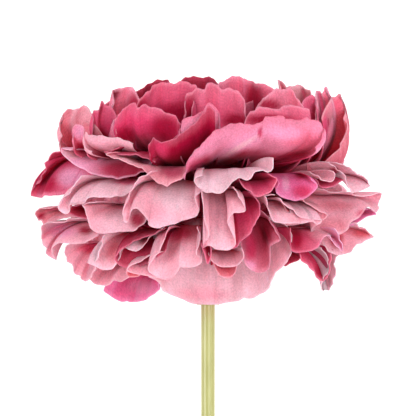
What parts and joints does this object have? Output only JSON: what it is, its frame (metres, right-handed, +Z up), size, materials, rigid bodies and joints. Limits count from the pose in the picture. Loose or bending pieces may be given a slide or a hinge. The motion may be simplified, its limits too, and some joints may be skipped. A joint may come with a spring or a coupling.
{
  "type": "artificial carnation flower",
  "caption": "An artificial carnation: a full ruffled bloom of layered cloth petals on a straight green plastic stem cut short, lying on its side.",
  "frame": {"origin": "the middle of the bounding box's underside, on the surface that the flower lies on", "axes": "+Y runs level from the stem's cut end to the bloom, over the stem's gentle slope, +X is the flower's right as its shown side is seen, and +Z is up"},
  "size_m": [0.1252, 0.2458, 0.1227],
  "materials": {
    "petal_cloth": "dyed woven cloth, crimson at the roots and pale at the cut edges",
    "calyx_plastic": "moulded soft plastic with a satin surface",
    "stem_plastic": "smooth glossy extruded sleeve",
    "wire_steel": "plain drawn wire"
  },
  "bodies": {
    "root": {"bloom": "petal_cloth", "calyx": "calyx_plastic", "stem": "stem_plastic", "stem_wire": "wire_steel"}
  },
  "joints": []
}
